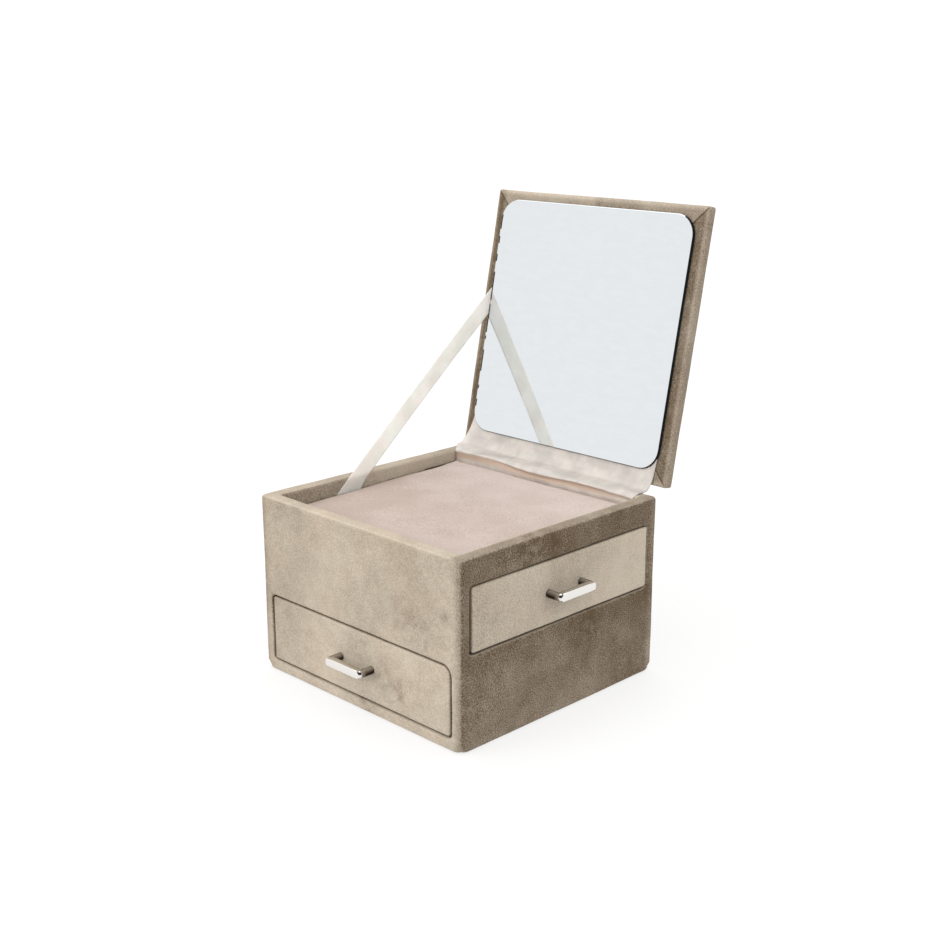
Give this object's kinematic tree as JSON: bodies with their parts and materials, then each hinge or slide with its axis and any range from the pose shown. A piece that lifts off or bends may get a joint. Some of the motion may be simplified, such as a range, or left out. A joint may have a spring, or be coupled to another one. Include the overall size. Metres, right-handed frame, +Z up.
{
  "type": "travel jewelry case",
  "caption": "Small velvet-covered jewellery case with a mirrored lid on a fabric hinge and ribbon stay, one drawer opening to the front and one to the side.",
  "frame": {"origin": "centre of the case's underside, on the surface it stands on", "axes": "+Z up, -Y towards the front, where the lower drawer opens, +X towards the right side, where the upper drawer opens"},
  "size_m": [0.1634, 0.1997, 0.2506],
  "materials": {
    "velvet": "short-pile velvet, taupe, brushed nap",
    "suede": "blush suede cloth, very short nap",
    "foam": "thin soft foam",
    "satin": "cream satin, soft lustre",
    "base_felt": "thin taupe felt sheet",
    "liner_card": "dark flocked card",
    "card": "grey-brown greyboard",
    "board": "raw fibreboard",
    "mirror": "silvered glass with a ground edge",
    "mirror_backing": "dark backing film and adhesive",
    "chrome": "polished nickel-chrome plate",
    "steel": "zinc-plated screw"
  },
  "bodies": {
    "case": {"base_sheet": "base_felt", "base_board": "board", "front_board": "board", "rear_board": "board", "left_board": "board", "right_board": "board", "divider_board": "board", "shelf_board": "board", "lower_bay_liner": "liner_card", "upper_bay_liner": "liner_card", "case_velvet": "velvet", "tray_card": "card", "tray_foam": "foam", "tray_suede": "suede", "hinge_satin": "satin", "hinge_velvet": "velvet", "ribbon_stay": "satin"},
    "lid": {"lid_board": "board", "lid_velvet": "velvet", "mirror_backing": "mirror_backing", "mirror_glass": "mirror"},
    "front_drawer": {"front_drawer_face_board": "board", "front_drawer_face_velvet": "velvet", "front_drawer_bottom": "card", "front_drawer_left_side": "card", "front_drawer_right_side": "card", "front_drawer_back": "card", "front_drawer_lining": "suede", "front_drawer_divider": "suede", "front_drawer_handle": "chrome", "front_drawer_screws": "steel"},
    "side_drawer": {"side_drawer_face_board": "board", "side_drawer_face_velvet": "velvet", "side_drawer_bottom": "card", "side_drawer_left_side": "card", "side_drawer_right_side": "card", "side_drawer_back": "card", "side_drawer_lining": "suede", "side_drawer_divider": "suede", "side_drawer_handle": "chrome", "side_drawer_screws": "steel"}
  },
  "joints": [
    {"name": "lid_hinge", "type": "hinge", "parent": "case", "child": "lid", "pos_m": [0, 0.07795, 0.10085], "axis": [1, 0, 0], "range_deg": [0, 101.5], "deforming": ["hinge_satin", "hinge_velvet", "ribbon_stay"]},
    {"name": "front_drawer_slide", "type": "slide", "parent": "case", "child": "front_drawer", "axis": [0, -1, 0], "range_m": [0, 0.11]},
    {"name": "side_drawer_slide", "type": "slide", "parent": "case", "child": "side_drawer", "axis": [1, 0, 0], "range_m": [0, 0.11]}
  ]
}
